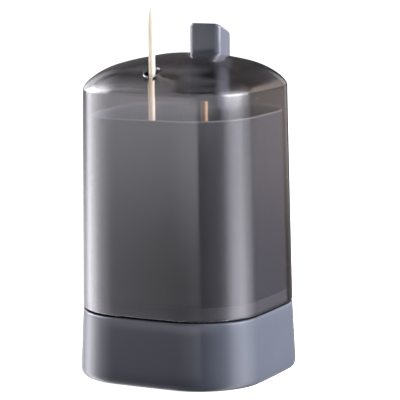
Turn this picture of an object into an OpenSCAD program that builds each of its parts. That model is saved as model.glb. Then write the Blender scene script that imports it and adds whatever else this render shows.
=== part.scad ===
/* [Cover] */
// Half width of the cover at its lower edge, between the corners
cover_half = 29.2; // [27:0.1:32]
// How far each face swells out at its middle
face_swell = 1.0; // [0.4:0.1:1.6]
// Corner radius of the cover seen from above
corner_r = 18.3; // [15:0.1:21]
// Lean of the sides in degrees from upright
side_lean = 0.92; // [0.5:0.01:1.2]
// Height of the cover's lower edge
cover_z = 22.0; // [21.9:0.1:23]
// Height where the side turns over into the dome
shoulder_z = 90.7; // [88:0.1:96]
// Width of the rounded shoulder
shoulder_w = 9.7; // [8:0.1:13]
// Height of the rounded shoulder
shoulder_h = 3.8; // [2.5:0.1:5]
// Further rise of the dome to its middle
crown_h = 6.9; // [5.5:0.1:8]
// Thickness of the cover's wall
cover_wall = 1.4; // [1:0.1:1.8]
// Rounding of the cover's lower edge
edge_round = 0.4; // [0.2:0.1:0.6]
// Inner diameter of the toothpick outlet
outlet_d = 4.4; // [3.6:0.1:5]
// Width of the lip round the outlet
lip_w = 0.5; // [0.3:0.1:0.8]
// Height of the lip over the dome
lip_h = 0.35; // [0.2:0.05:0.6]

/* [Base] */
// Height of the rubber feet below the housing
foot_h = 0.3; // [0.2:0.1:1]
// Diameter of a rubber foot
foot_d = 8; // [6:0.5:9]
// Distance of a foot's middle inside the edge of the bottom plate
foot_inset = 6.3; // [5:0.1:8]
// How much wider the housing is than the cover, on each side
base_flare = 0.8; // [0.3:0.1:1.5]
// Height of the housing's top face
base_top = 21.4; // [21:0.1:21.6]
// Inset of the rounded lower edge
toe_inset = 0.9; // [0.5:0.1:1.4]
// Height of the rounded lower edge
toe_h = 2; // [1:0.1:3]
// Rounding of the housing's upper edge
rim_round = 0.6; // [0.3:0.1:0.9]
// Thickness of the deck under the hopper
deck_t = 2; // [1.6:0.1:2.2]
// Width of the deck's ledge along its sides
deck_ledge = 9.9; // [9:0.1:12]
// Top of the collar that locates the cover
collar_top = 26.1; // [25:0.1:27]
// Thickness of the collar
collar_t = 1.3; // [1:0.1:1.4]
// Thickness of the housing's wall at the top
base_wall = 2.2; // [1.8:0.1:2.4]
// Thickness of the bottom plate
plate_t = 1.7; // [1.4:0.1:1.9]
// Depth of the bottom plate inside the lower edge
plate_inset = 0.4; // [0.2:0.1:0.6]

/* [Hopper] */
// Top edge of the hopper
hopper_top = 83.3; // [78:0.1:86]
// Thickness of the hopper's wall
hopper_wall = 1.4; // [1:0.1:1.6]
// Height of the feed floor at the outlet
floor_z = 22.4; // [22.1:0.1:22.6]
// Fall of the feed floor towards the outlet, in degrees
floor_fall = 3.5; // [2:0.1:4]
// Fall of the feed floor towards its middle, in degrees
floor_vee = 3; // [2:0.1:4]
// Wall of the guide round the lifter rod
guide_wall = 1.2; // [1:0.1:1.4]
// Top of the guide in the hopper
guide_top = 80; // [70:0.5:81]
// Width of the mouth that lets a toothpick into the guide
mouth_w = 2.6; // [2.4:0.1:2.8]
// Wall of the shaft that holds the tab
shaft_wall = 1.2; // [1:0.1:1.4]
// Underside of the spring shelf in the shaft
shelf_z = 52; // [48:0.5:54]
// Thickness of the spring shelf
shelf_t = 4; // [3:0.5:5]

/* [Press tab] */
// Width of the tab
tab_w = 11.1; // [10.2:0.1:11.7]
// Depth of the tab from front to back
tab_d = 9.5; // [9:0.1:9.8]
// Distance of the tab's middle inside the back face
tab_setback = 11.9; // [11.7:0.1:12.3]
// Height of the tab's top at its front edge
tab_top = 110.2; // [107:0.1:113]
// Slope of the tab's top in degrees
tab_slope = 22; // [15:1:30]
// Rounding of the tab's upright corners
tab_corner = 2.2; // [1.6:0.1:2.8]
// Underside of the tab's block
tab_under = 76; // [74:0.5:78]
// How far the tab is pressed
tab_travel = 8.7; // [7.5:0.1:9]
// Diameter of the steel stem
stem_d = 4.2; // [4:0.1:4.3]
// Wire of the return spring
spring_wire = 0.8; // [0.6:0.05:0.9]
// Outer diameter of the return spring
spring_d = 6.6; // [6.5:0.1:6.8]
// Turns of the return spring
spring_turns = 9; // [7:1:10]

/* [Lever drive] */
// Distance of the outlet inside the front face
outlet_setback = 7.3; // [7.1:0.1:7.7]
// Distance of the lever's pivot inside the back face
pivot_setback = 7.8; // [7.6:0.1:8.1]
// Height of the lever's pivot
pivot_z = 20.3; // [20.1:0.1:20.5]
// How far the lifter drops
lift_travel = 29.9; // [29:0.1:30.2]
// Thickness of the lever blade
blade_t = 1.2; // [1:0.05:1.3]
// Half height of the blade at its tip
tip_r = 2.2; // [2:0.1:2.3]
// Half height of the blade at the push pin
push_r = 2.5; // [2.3:0.1:2.6]
// Radius of the lever's hub
hub_r = 2.4; // [2.2:0.1:2.6]
// Length of the lever's hub
hub_l = 7.2; // [6.6:0.1:7.4]
// Diameter of the pivot pin
pivot_d = 2.4; // [2:0.1:2.6]
// Diameter of the push pin
push_d = 1.6; // [1.4:0.1:1.7]
// Diameter of the lifter pin
lift_pin_d = 1.2; // [1:0.1:1.3]
// Diameter of the lifter rod
rod_d = 3.6; // [3.4:0.1:3.7]
// Distance from the lifter pin up to its cup
rod_rise = 16.8; // [16:0.1:18]
// Depth of the lifter's cup
cup_h = 0.6; // [0.4:0.1:0.8]
// Thickness of the fork's arms
fork_t = 1.4; // [1.2:0.1:1.5]
// Half height of the fork's arms
fork_r = 1.8; // [1.6:0.1:1.9]
// Underside of the fork's block
fork_z = 32.5; // [32:0.1:33.5]
// Height of the fork's block
fork_h = 5; // [4.5:0.1:5.5]
// Thickness of the bracket's cheeks
cheek_t = 1.6; // [1.4:0.1:2]

/* [Toothpicks] */
// Diameter of a toothpick
pick_d = 2.0; // [1.8:0.05:2.2]
// Length of a toothpick
pick_l = 65; // [60:0.5:66]
// Length of a toothpick's pointed end
pick_taper = 6; // [4:0.5:8]
// Diameter at a toothpick's tip
pick_tip = 0.8; // [0.5:0.1:1]
// Distance of the stored toothpick inside the side face
stored_side = 16.2; // [12:0.1:19]
// Distance of the stored toothpick inside the front face
stored_front = 16.7; // [15:0.1:21]

/* [Fasteners and fits] */
// Gap between the cover and what it slips over
cover_gap = 0.35; // [0.3:0.05:0.4]
// Gap round the tab in its slot and shaft
tab_gap = 0.4; // [0.35:0.05:0.45]
// Gap beside the blade in its slots
blade_gap = 0.35; // [0.3:0.05:0.38]
// Radial running gap of rods and pins that slide or turn
run_gap = 0.1; // [0.05:0.01:0.1]
// Radial gap of pins that are pressed in
seat_gap = 0.02; // [0.01:0.01:0.03]
// Gap between pieces that are laid in place
fit_gap = 0.15; // [0.1:0.01:0.2]
// Thread diameter of the screws
screw_d = 2; // [1.8:0.1:2.2]
// Head diameter of the screws
screw_head_d = 3.8; // [3.4:0.1:4]
// Head height of the screws
screw_head_h = 1.1; // [0.9:0.1:1.2]
// Length of the housing's screws under the head
screw_l = 8; // [6:0.5:9]
// Diameter of the screw bosses
boss_d = 5.4; // [5:0.1:5.8]
// Direction of the bottom plate's screws from the side faces, in degrees
bottom_screw_angle = 19; // [17:0.5:21]
// Distance of the bottom plate's screws from the inside of the housing
bottom_screw_inset = 4.86; // [4.5:0.02:5.2]
// Direction of the hopper's screws from the side faces, in degrees
hopper_screw_angle = 40.6; // [39:0.2:43]
// Distance of the hopper's screws from the inside of the hopper
hopper_screw_inset = 2.14; // [2:0.02:2.3]
// Direction of the feet from the side faces, in degrees
foot_angle = 45; // [40:1:50]
// Room above and below the push pin in its slot of the lever
push_play = 0.256; // [0.24:0.004:0.32]
// Room above and below the lifter pin in its slot of the lever
lift_play = 0.4; // [0.3:0.02:0.5]
// Radius of the bracket's cheeks round the pivot pin
cheek_r = 3.36; // [3:0.02:3.6]
// Diameter of the bracket's screw bosses
bracket_boss_d = 4.32; // [4:0.04:4.6]

/* [Hidden] */
$fn = 48;

// Overrun of cuts, worked out from the thinnest wall so that it scales with the model
over = blade_t / 2;
// Points round the plan outline of every shell
plan_points = 64;
// Power of the dome's curve from its middle to the shoulder
crown_power = 2;

// Heights that stack up from the table
housing_z = foot_h;
plate_z = housing_z + plate_inset;
plate_top = plate_z + plate_t;
deck_z = base_top - deck_t;
// Places measured from the cover's faces
outlet_y = cover_half - outlet_setback;
pivot_y = cover_half - pivot_setback;
tab_y = cover_half - tab_setback;
stored_x = cover_half - stored_side;
stored_y = cover_half - stored_front;
// Half width of the housing near its foot, of the space inside it, and of the collar
base_half = cover_half + base_flare;
inner_half = cover_half - base_wall;
collar_out = cover_half - cover_wall - cover_gap;
collar_in = collar_out - collar_t;
hopper_out = collar_out;
hopper_in = hopper_out - hopper_wall;
hopper_z = collar_top + fit_gap / 3;
// Underside of the hopper's screw bosses, a little over the deck
boss_z = base_top + deck_t / 2;

// Lever geometry: the arms, the swing and the places of the two driven pins
front_arm = outlet_y + pivot_y;
push_arm = front_arm * tab_travel / lift_travel;
half_swing = atan(tab_travel / 2 / push_arm);
lift_pin_z = pivot_z + lift_travel / 2;
push_pin_y = pivot_y - push_arm;
push_pin_z = pivot_z + tab_travel / 2;
cup_z = lift_pin_z + rod_rise;
rod_bottom = lift_pin_z - tip_r;
slot_w = blade_t + 2 * blade_gap;
rod_slot_top = lift_pin_z + tip_r + lift_pin_d;
guide_r = rod_d / 2 + run_gap;
guide_out = guide_r + guide_wall;
guide_bottom = plate_top + rod_d;

// Tab, shaft and fork
shaft_w = tab_w + 2 * tab_gap;
shaft_d = tab_d + 2 * tab_gap;
shaft_z = collar_top;
fork_y = tab_y - tab_d / 2 + fork_r;
window_z = push_pin_z + fork_r + 2 * tab_gap;
fork_gap_w = 2 * (slot_w / 2 + fork_t + 2 * tab_gap);
fork_front = push_pin_y - fork_r - 2 * tab_gap;
fork_in = blade_t / 2 + tab_gap;
socket_z = fork_z + fork_t / 2;
stem_top = tab_under + 2 * stem_d;
clip_t = pivot_d / 5;
cheek_in = hub_l / 2 + tab_gap;
deck_open_w = 2 * (inner_half - deck_ledge);
deck_open_l = 2 * (pivot_y + cheek_r + tab_gap);
bracket_screw_x = cheek_in + cheek_t + screw_head_d / 2;
pin_half = cheek_in + cheek_t + 3 * clip_t;

// Half width of the leaning side at a height
function side_half(z) = cover_half - tan(side_lean) * (z - cover_z);

// One point of the swollen, round-cornered square, in the direction of an angle
function plan_point(angle) =
    let (c = cos(angle), s = sin(angle))
    let (high = max(abs(c), abs(s)), low = min(abs(c), abs(s)))
    let (flat = cover_half - corner_r, q = flat * (high + low))
    let (reach = low * cover_half / high <= flat ? cover_half / high
        : q + sqrt(q * q - 2 * flat * flat + corner_r * corner_r))
    let (x = c * reach, y = s * reach)
    [x + sign(x) * face_swell * max(0, 1 - pow(y / cover_half, 2)) * pow(x / cover_half, 2),
     y + sign(y) * face_swell * max(0, 1 - pow(x / cover_half, 2)) * pow(y / cover_half, 2)];

plan = [for (i = [0:plan_points - 1]) plan_point(360 * i / plan_points)];

// Place inside an outline of a half width, in the direction of an angle
function inside_place(half, angle, inset) =
    [cos(angle), sin(angle)] * (norm(plan_point(angle)) * half / cover_half - inset);
bottom_screw_at = inside_place(inner_half, bottom_screw_angle, bottom_screw_inset);
hopper_screw_at = inside_place(hopper_in, hopper_screw_angle, hopper_screw_inset);
foot_at = inside_place(inner_half, foot_angle, foot_inset);

function plan_at(half) = [for (p = plan) p * half / cover_half];

// Closed solid skin through level outlines, given as pairs of half width and height
module skin(levels) {
    n = plan_points;
    points = [for (level = levels) for (p = plan_at(level[0])) [p[0], p[1], level[1]]];
    last = (len(levels) - 1) * n;
    sides = [for (k = [0:len(levels) - 2]) for (i = [0:n - 1])
        let (a = k * n + i, b = k * n + (i + 1) % n)
        each [[a, a + n, b], [b, a + n, b + n]]];
    floor_face = [for (i = [0:n - 1]) i];
    top_face = [for (i = [0:n - 1]) last + n - 1 - i];
    polyhedron(points, concat(sides, [floor_face, top_face]));
}

// Upright prism on the plan outline
module plan_prism(half, bottom, top) {
    translate([0, 0, bottom]) linear_extrude(top - bottom) polygon(plan_at(half));
}

// Flat slab with round upright corners, centred in plan
module slab(w, d, r, bottom, top) {
    translate([0, 0, bottom]) linear_extrude(top - bottom) {
        square([w - 2 * r, d], center = true);
        square([w, d - 2 * r], center = true);
        for (x = [-1, 1], y = [-1, 1])
            translate([x * (w / 2 - r), y * (d / 2 - r)]) circle(r);
    }
}

// Block between two corners
module block(from, to) {
    translate(from) cube(to - from);
}

// Rod along X at a place in the side view
module cross_rod(y, z, r, half_l) {
    translate([-half_l, y, z]) rotate([0, 90, 0]) cylinder(r = r, h = 2 * half_l);
}

// Plate of the side view: its outline is given as distance forward and height
module side_plate(t) {
    rotate([90, 0, -90]) linear_extrude(t, center = true) children();
}

// Slot with round ends along the first axis
module slot_outline(from, to, r) {
    translate([from, -r]) square([to - from, 2 * r]);
    for (x = [from, to]) translate([x, 0]) circle(r);
}

// Copies at the four corners of a rectangle round the middle
module at_four(place) {
    for (x = [-1, 1], y = [-1, 1]) translate([x * place[0], y * place[1], 0]) children();
}

// Pan-head screw pointing up from its head's underside at the origin
module screw(l) {
    translate([0, 0, -screw_head_h]) cylinder(d = screw_head_d, h = screw_head_h);
    cylinder(d = screw_d, h = l);
}

// Slot along the middle for the swinging blade
module blade_cut(bottom, top) {
    block([-slot_w / 2, -collar_in - face_swell, bottom], [slot_w / 2, pivot_y + hub_r, top]);
}

// Outline levels of the cover's dome from the shoulder in to the middle
shoulder_half = side_half(shoulder_z);
shoulder_steps = 6;
dome_shares = [0.85, 0.66, 0.46, 0.26, 0.1];
function crown(half) = crown_h * (1 - pow(half / shoulder_half, crown_power));
function dome_levels() = concat(
    [for (i = [0:shoulder_steps])
        let (t = 90 * i / shoulder_steps, half = shoulder_half - shoulder_w * (1 - cos(t)))
        [half, shoulder_z + shoulder_h * sin(t) + crown(half)]],
    [for (share = dome_shares)
        let (half = share * (shoulder_half - shoulder_w))
        [half, shoulder_z + shoulder_h + crown(half)]]);

// Height and slope of the dome's surface at the outlet
outlet_turn = acos(1 - (shoulder_half + face_swell - outlet_y) / shoulder_w);
outlet_half = outlet_y * shoulder_half / (shoulder_half + face_swell);
outlet_z = shoulder_z + shoulder_h * sin(outlet_turn) + crown(outlet_half);
outlet_slope = atan(crown_h * crown_power / shoulder_half * pow(outlet_half / shoulder_half, crown_power - 1)
    + shoulder_h / shoulder_w / tan(outlet_turn));

module base_housing() color("slategray") {
    toe = [for (t = [0:22.5:90])
        [base_half - toe_inset * (1 - sin(t)), housing_z + toe_h * (1 - cos(t))]];
    rim = [for (t = [0:30:90])
        [cover_half - rim_round * (1 - cos(t)), base_top - rim_round * (1 - sin(t))]];
    difference() {
        union() {
            skin(concat(toe, rim));
            plan_prism(collar_out, base_top - over, collar_top);
            // Pads that the cover's lower edge stands on
            for (a = [45:90:315]) rotate(a) {
                translate([norm(plan_point(45)) - cover_wall, 0, base_top - over])
                    cylinder(d = cover_wall / 2, h = cover_z - base_top + over - fit_gap / 3);
            }
        }
        plan_prism(inner_half, 0, deck_z);
        plan_prism(collar_in, base_top, collar_top + over);
        slab(deck_open_w, deck_open_l, 2 * deck_t, deck_z - over, base_top + over);
        blade_cut(deck_z - over, base_top + over);
        at_four(hopper_screw_at) cylinder(d = screw_d + 2 * fit_gap, h = base_top + over);
    }
    // Bosses for the bottom plate's screws
    at_four(bottom_screw_at) difference() {
        translate([0, 0, plate_top]) cylinder(d = boss_d, h = deck_z - plate_top + over);
        cylinder(r = screw_d / 2 + seat_gap, h = plate_top + screw_l);
    }
}

module bottom_plate() color("dimgray") difference() {
    plan_prism(inner_half - fit_gap, plate_z, plate_top);
    at_four(foot_at)
        cylinder(r = foot_d / 2 + fit_gap, h = plate_z + plate_t / 2);
    at_four(bottom_screw_at) screw_hole();
    for (x = [-1, 1]) translate([x * bracket_screw_x, pivot_y, 0]) screw_hole();
}

// Stepped hole that sinks a screw's head into the bottom plate
module screw_hole() {
    cylinder(d = screw_d + 2 * fit_gap, h = plate_top + over);
    cylinder(d = screw_head_d + 2 * fit_gap, h = plate_z + screw_head_h);
}

module bottom_screws() color("silver")
    at_four(bottom_screw_at) translate([0, 0, plate_z + screw_head_h]) screw(screw_l);

module rubber_feet() color("black")
    at_four(foot_at) cylinder(d = foot_d, h = plate_z + plate_t / 2);

// Height of the feed floor over a place
function feed_z(x, y) = floor_z + (y + outlet_y) * tan(floor_fall) + abs(x) * tan(floor_vee);

module feed_floor() color("lightsteelblue") {
    far = 2 * cover_half;
    difference() {
        union() {
            difference() {
                plan_prism(collar_in - fit_gap, base_top, hopper_z + collar_t);
                for (side = [0, 1]) mirror([side, 0, 0])
                    translate([0, -outlet_y, floor_z]) rotate([floor_fall, 0, 0]) rotate([0, -floor_vee, 0])
                        translate([-over, -far / 2, 0]) cube([far, 2 * far, far]);
            }
            // Hood over the push fork
            block([-fork_gap_w / 2 - shaft_wall, fork_front - shaft_wall, base_top],
                [fork_gap_w / 2 + shaft_wall, tab_y - shaft_d / 2 - shaft_wall - tab_gap,
                    window_z + shaft_wall]);
            // Lower guide of the lifter rod
            translate([0, -outlet_y, guide_bottom])
                cylinder(r = guide_out, h = floor_z - guide_bottom);
        }
        // Way for the fork, and for the bracket behind it
        block([-fork_gap_w / 2, fork_front, deck_z], [fork_gap_w / 2, pivot_y, window_z]);
        block([-cheek_in - cheek_t - tab_gap, tab_y - shaft_d / 2, deck_z],
            [cheek_in + cheek_t + tab_gap, pivot_y + cheek_r + tab_gap, hopper_z + 2 * collar_t]);
        // Pocket over the pivot pin and its clips
        block([-pin_half - tab_gap, pivot_y - pivot_d - tab_gap, deck_z],
            [pin_half + tab_gap, pivot_y + pivot_d + tab_gap, pivot_z + pivot_d + tab_gap]);
        translate([0, -outlet_y, 0]) cylinder(r = guide_r, h = hopper_z);
        blade_cut(0, window_z + 2 * shaft_wall);
        at_four(hopper_screw_at) {
            cylinder(d = screw_d + 2 * fit_gap, h = 2 * hopper_z);
            translate([0, 0, boss_z]) cylinder(r = boss_d / 2 + fit_gap, h = hopper_z);
        }
    }
}

module hopper() color("dimgray") {
    difference() {
        union() {
            difference() {
                skin([[hopper_out, hopper_z],
                    [side_half(hopper_top) - cover_wall - cover_gap, hopper_top]]);
                skin([[hopper_in, hopper_z - over],
                    [side_half(hopper_top + over) - cover_wall - cover_gap - hopper_wall,
                        hopper_top + over]]);
            }
            intersection() {
                union() {
                    at_four(hopper_screw_at) translate([0, 0, boss_z])
                        cylinder(d = boss_d, h = screw_l + deck_t);
                    // Ribs that join the guide and the shaft to the wall
                    for (x = [-1, 1]) {
                        translate([x * (slot_w / 2 + guide_wall / 2) - guide_wall / 2, -cover_half, hopper_z])
                            cube([guide_wall, cover_half - outlet_y, guide_top - hopper_z]);
                        translate([x * (shaft_w + shaft_wall) / 2 - shaft_wall / 2, tab_y, shaft_z])
                            cube([shaft_wall, cover_half - tab_y, hopper_top - shaft_z]);
                    }
                }
                skin([[collar_in - fit_gap, boss_z], [collar_in - fit_gap, hopper_z],
                    [hopper_in + hopper_wall / 2, hopper_z + hopper_wall],
                    [side_half(hopper_top) - cover_wall - cover_gap - hopper_wall / 2, hopper_top]]);
            }
            translate([0, -outlet_y, hopper_z]) cylinder(r = guide_out, h = guide_top - hopper_z);
            translate([0, tab_y, 0])
                slab(shaft_w + 2 * shaft_wall, shaft_d + 2 * shaft_wall, shaft_wall, shaft_z, hopper_top);
        }
        // Bore and mouth of the guide, and the blade's way through it
        translate([0, -outlet_y, 0]) cylinder(r = guide_r, h = hopper_top + over);
        block([-mouth_w / 2, -outlet_y, hopper_z - over],
            [mouth_w / 2, -outlet_y + guide_out + over, hopper_top]);
        block([-slot_w / 2, -collar_in - face_swell / 2, hopper_z - over],
            [slot_w / 2, -outlet_y, rod_slot_top + tip_r]);
        // Shaft above and below its shelf, with the window for the fork
        for (part = [[shaft_z - over, shelf_z], [shelf_z + shelf_t, hopper_top + over]])
            block([-shaft_w / 2, tab_y - shaft_d / 2, part[0]],
                [shaft_w / 2, tab_y + shaft_d / 2, part[1]]);
        block([-fork_gap_w / 2, tab_y - shaft_d, shaft_z - over], [fork_gap_w / 2, tab_y, window_z]);
        translate([0, tab_y, shelf_z - over])
            cylinder(r = stem_d / 2 + run_gap, h = shelf_t + 2 * over);
        at_four(hopper_screw_at) cylinder(r = screw_d / 2 + seat_gap, h = deck_z + screw_l);
    }
}

module hopper_screws() color("silver")
    at_four(hopper_screw_at) translate([0, 0, deck_z]) screw(screw_l - deck_t);

module pivot_bracket() color("gray") difference() {
    union() {
        block([-bracket_screw_x - screw_d, pivot_y - cheek_r, plate_top],
            [bracket_screw_x + screw_d, pivot_y + cheek_r, plate_top + cheek_t]);
        for (x = [-1, 1]) {
            translate([x * (cheek_in + cheek_t / 2), pivot_y, 0]) {
                block([-cheek_t / 2, -cheek_r, plate_top], [cheek_t / 2, cheek_r, pivot_z]);
                translate([-cheek_t / 2, 0, pivot_z]) rotate([0, 90, 0]) cylinder(r = cheek_r, h = cheek_t);
            }
            translate([x * bracket_screw_x, pivot_y, plate_top]) cylinder(d = bracket_boss_d, h = screw_l);
        }
    }
    cross_rod(pivot_y, pivot_z, pivot_d / 2 + seat_gap, bracket_screw_x);
    for (x = [-1, 1]) translate([x * bracket_screw_x, pivot_y, 0])
        cylinder(r = screw_d / 2 + seat_gap, h = plate_top + screw_l - deck_t);
}

module bracket_screws() color("silver")
    for (x = [-1, 1]) translate([x * bracket_screw_x, pivot_y, plate_z + screw_head_h])
        screw(screw_l - deck_t);

module lever_pivot_pin() color("silver") cross_rod(pivot_y, pivot_z, pivot_d / 2, pin_half);

module pivot_clips() color("black")
    for (x = [-1, 1])
        translate([x * (cheek_in + cheek_t + clip_t + seat_gap) - clip_t / 2, pivot_y, pivot_z])
        rotate([0, 90, 0]) difference() {
            cylinder(d = 2 * pivot_d, h = clip_t);
            translate([0, 0, -over]) cylinder(r = pivot_d / 2 + seat_gap, h = clip_t + 2 * over);
        }

module lever() color("silver") translate([0, pivot_y, pivot_z]) rotate([-half_swing, 0, 0]) {
    reach = front_arm / cos(half_swing);
    difference() {
        union() {
            side_plate(blade_t) {
                polygon([[0, hub_r], [push_arm, push_r], [reach, tip_r],
                    [reach, -tip_r], [push_arm, -push_r], [0, -hub_r]]);
                translate([push_arm, 0]) circle(push_r);
                translate([reach, 0]) circle(tip_r);
            }
            cross_rod(0, 0, hub_r, hub_l / 2);
        }
        cross_rod(0, 0, pivot_d / 2 + run_gap / 2, hub_l);
        side_plate(2 * blade_t) {
            slot_outline(push_arm - push_play, push_arm / cos(half_swing) + push_play,
                push_d / 2 + push_play);
            slot_outline(front_arm - lift_play / 2, reach + lift_play / 2, lift_pin_d / 2 + lift_play);
        }
    }
}

module lifter() color("gainsboro") translate([0, -outlet_y, 0]) difference() {
    translate([0, 0, rod_bottom]) cylinder(d = rod_d, h = cup_z + cup_h - rod_bottom);
    translate([0, 0, cup_z]) cylinder(d1 = 2 * pick_tip, d2 = rod_d - blade_t / 2, h = cup_h + over / 10);
    block([-slot_w / 2, -rod_d, rod_bottom - over], [slot_w / 2, rod_d, rod_slot_top]);
    cross_rod(0, lift_pin_z, lift_pin_d / 2 + seat_gap, rod_d);
}

module lifter_pin() color("silver")
    cross_rod(-outlet_y, lift_pin_z, lift_pin_d / 2, rod_d / 2 - run_gap);

// Round toothpick standing on its lower tip, its upper end pointed or cut off square
module toothpick(top_d, top_taper) color("burlywood") rotate_extrude()
    polygon([[0, 0], [pick_tip / 2, 0], [pick_d / 2, pick_taper], [pick_d / 2, pick_l - top_taper],
        [top_d / 2, pick_l], [0, pick_l]]);

module raised_toothpick() translate([0, -outlet_y, cup_z + seat_gap]) toothpick(pick_tip, pick_taper);

module stored_toothpick()
    translate([stored_x, -stored_y, feed_z(stored_x + pick_tip, pick_tip - stored_y) + seat_gap])
        toothpick(pick_d - pick_tip / 2, pick_tip / 4);

module press_tab() color("slategray") difference() {
    translate([0, tab_y, 0]) slab(tab_w, tab_d, tab_corner, tab_under, tab_top);
    translate([0, tab_y - tab_d / 2, tab_top]) rotate([-tab_slope, 0, 0])
        translate([-tab_w, -tab_w, 0]) cube([2 * tab_w, 4 * tab_w, tab_w]);
    translate([0, tab_y, tab_under - over])
        cylinder(r = stem_d / 2 + seat_gap, h = stem_top - tab_under + over);
}

module tab_stem() color("silver") translate([0, tab_y, 0]) difference() {
    translate([0, 0, socket_z]) cylinder(d = stem_d, h = stem_top - socket_z);
    cross_rod(0, fork_z + fork_h / 2, push_d / 2 + seat_gap, stem_d);
}

module stem_clip() color("black") translate([0, tab_y, shelf_z - clip_t - tab_gap]) difference() {
    cylinder(d = spring_d, h = clip_t);
    translate([0, 0, -over]) cylinder(r = stem_d / 2 + seat_gap, h = clip_t + 2 * over);
}

module push_fork() color("gray") difference() {
    union() {
        translate([0, tab_y, 0])
            slab(2 * (fork_in + fork_t), tab_d, tab_corner / 2, fork_z, fork_z + fork_h);
        for (x = [-1, 1]) translate([x * (fork_in + fork_t / 2), 0, 0]) side_plate(fork_t) {
            translate([-push_pin_y, push_pin_z]) circle(fork_r);
            polygon([[-push_pin_y, push_pin_z + fork_r], [-push_pin_y, push_pin_z - fork_r],
                [-fork_y - fork_r, push_pin_z - fork_r], [-fork_y - fork_r, fork_z + fork_h / 2],
                [-fork_y + fork_r, fork_z + fork_h / 2], [-fork_y + fork_r, push_pin_z + fork_r]]);
        }
    }
    translate([0, tab_y, socket_z]) cylinder(r = stem_d / 2 + seat_gap, h = fork_h + over);
    cross_rod(tab_y, fork_z + fork_h / 2, push_d / 2 + seat_gap, tab_w);
    cross_rod(push_pin_y, push_pin_z, push_d / 2 + seat_gap, tab_w);
}

module fork_pin() color("silver")
    cross_rod(tab_y, fork_z + fork_h / 2, push_d / 2, fork_in + fork_t);

module push_pin() color("silver") cross_rod(push_pin_y, push_pin_z, push_d / 2, fork_in + fork_t);

// Coil of the return spring, from the shelf up to the tab's block
spring_bottom = shelf_z + shelf_t + spring_wire / 2 + seat_gap;
spring_rise = tab_under - seat_gap - spring_wire / 2 - spring_bottom;
ring_sides = 6;
rings_each_turn = 10;
spring_path = [for (i = [0:spring_turns * rings_each_turn])
    let (turn = i / rings_each_turn)
    [cos(360 * turn) * (spring_d - spring_wire) / 2, sin(360 * turn) * (spring_d - spring_wire) / 2,
        spring_bottom + spring_rise * turn / spring_turns]];
echo(least_gap_of_the_spring_to_itself = spring_rise / spring_turns - spring_wire);

module return_spring() color("silver") translate([0, tab_y, 0]) {
    n = ring_sides;
    points = [for (i = [0:len(spring_path) - 1]) for (k = [0:n - 1])
        let (turn = 360 * i / rings_each_turn, a = 360 * k / n, p = spring_path[i])
        [p[0] + cos(turn) * cos(a) * spring_wire / 2, p[1] + sin(turn) * cos(a) * spring_wire / 2,
            p[2] + sin(a) * spring_wire / 2]];
    last = (len(spring_path) - 1) * n;
    sides = [for (i = [0:len(spring_path) - 2]) for (k = [0:n - 1])
        let (a = i * n + k, b = i * n + (k + 1) % n)
        each [[a, b, a + n], [b, b + n, a + n]]];
    polyhedron(points, concat(sides, [[for (k = [0:n - 1]) n - 1 - k]], [[for (k = [0:n - 1]) last + k]]));
}

module cover() color("dimgray") {
    dome = dome_levels();
    difference() {
        union() {
            difference() {
                skin(concat([[cover_half - edge_round, cover_z], [cover_half, cover_z + edge_round]],
                    dome));
                skin(concat([[cover_half - cover_wall, cover_z - over]],
                    [for (level = dome) [level[0] - cover_wall, level[1] - cover_wall]]));
            }
            translate([0, -outlet_y, outlet_z]) rotate([outlet_slope, 0, 0])
                translate([0, 0, -cover_wall / 2])
                    cylinder(d = outlet_d + 2 * lip_w, h = cover_wall / 2 + lip_h);
        }
        translate([0, -outlet_y, shoulder_z - shoulder_h]) cylinder(d = outlet_d, h = 3 * crown_h);
        translate([0, tab_y, 0])
            slab(shaft_w, shaft_d, tab_corner + tab_gap, shoulder_z - shoulder_h, tab_top);
    }
}

base_housing();
bottom_plate();
bottom_screws();
rubber_feet();
feed_floor();
hopper();
hopper_screws();
pivot_bracket();
bracket_screws();
lever_pivot_pin();
pivot_clips();
lever();
lifter();
lifter_pin();
raised_toothpick();
stored_toothpick();
press_tab();
tab_stem();
stem_clip();
push_fork();
fork_pin();
push_pin();
return_spring();
cover();
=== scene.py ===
import math

import bmesh
import bpy
from mathutils import Matrix, Vector


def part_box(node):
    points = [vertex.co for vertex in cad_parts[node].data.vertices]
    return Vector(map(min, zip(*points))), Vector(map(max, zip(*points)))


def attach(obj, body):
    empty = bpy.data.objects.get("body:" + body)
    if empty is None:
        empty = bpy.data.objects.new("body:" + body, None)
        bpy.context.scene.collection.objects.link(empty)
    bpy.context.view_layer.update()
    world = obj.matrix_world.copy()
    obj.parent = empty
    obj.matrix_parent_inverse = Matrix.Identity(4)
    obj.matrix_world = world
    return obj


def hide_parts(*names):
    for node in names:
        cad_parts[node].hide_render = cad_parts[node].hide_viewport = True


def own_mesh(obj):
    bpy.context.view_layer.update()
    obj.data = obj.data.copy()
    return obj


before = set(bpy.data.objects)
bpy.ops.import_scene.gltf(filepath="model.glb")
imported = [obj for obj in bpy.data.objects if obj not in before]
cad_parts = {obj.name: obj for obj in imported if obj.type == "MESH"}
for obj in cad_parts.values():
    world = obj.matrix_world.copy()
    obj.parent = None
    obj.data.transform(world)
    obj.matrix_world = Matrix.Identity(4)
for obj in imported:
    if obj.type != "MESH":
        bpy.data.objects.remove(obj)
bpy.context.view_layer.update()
mm = 0.001  # in metres
print("frame loaded")


# Camera, placed by the photograph's perspective

cameraSettings = {
    "target": (0, 0, 55.5),  # mm
    "distance": 683.5,
    "azimuth": 27.8,  # degrees to the right of the front
    "elevation": 8.84,
    "yaw": 0.343,
    "pitch": -0.075,
    "roll": -0.769,
    "focalPixels": 2151.1,
    "framePixels": 400,
    "sensor": 36,
}


def newObject(name, data):
    thing = bpy.data.objects.new(name, data)
    bpy.context.scene.collection.objects.link(thing)
    return thing


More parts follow.
